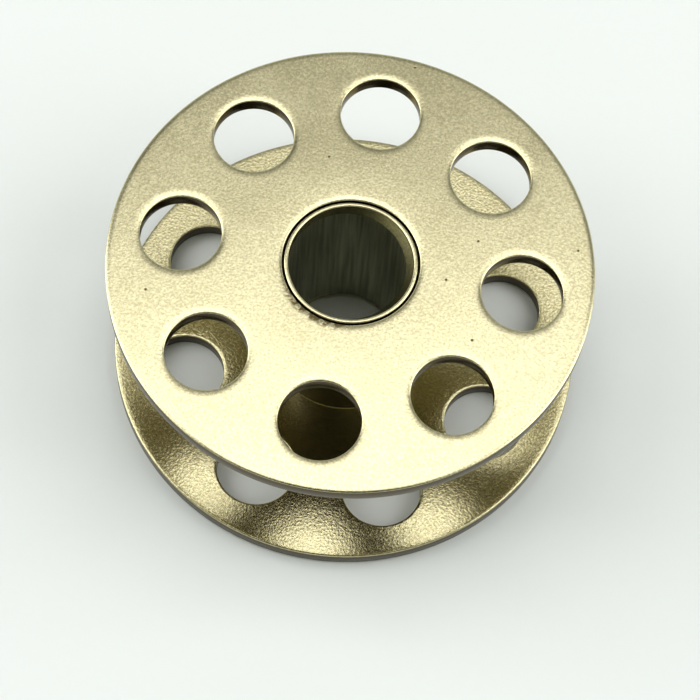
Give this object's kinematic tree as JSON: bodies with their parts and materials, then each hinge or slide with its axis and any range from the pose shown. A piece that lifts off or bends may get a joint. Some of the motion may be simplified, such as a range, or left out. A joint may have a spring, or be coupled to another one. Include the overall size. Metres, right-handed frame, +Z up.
{
  "type": "sewing machine bobbin",
  "caption": "Empty metal thread bobbin: a hub tube with a through bore, flared into two round sheet flanges pierced with round holes.",
  "frame": {"origin": "centre of the bore on the plane of the flat land round the lower end of the hub, which the bobbin rests on", "axes": "+Z up along the bore, from the lower flange to the upper flange; +X through the middle of one of the upper flange's holes"},
  "size_m": [0.025, 0.025, 0.0107],
  "materials": {
    "lower_flange": "nickel-plated steel sheet, semi-bright, fine orange-peel grain",
    "upper_flange": "nickel-plated steel sheet, semi-bright, fine orange-peel grain",
    "hub_tube": "nickel-plated steel tube, drawn, flared ends"
  },
  "bodies": {
    "root": {"lower_flange": "lower_flange", "upper_flange": "upper_flange", "hub_tube": "hub_tube"}
  },
  "joints": []
}
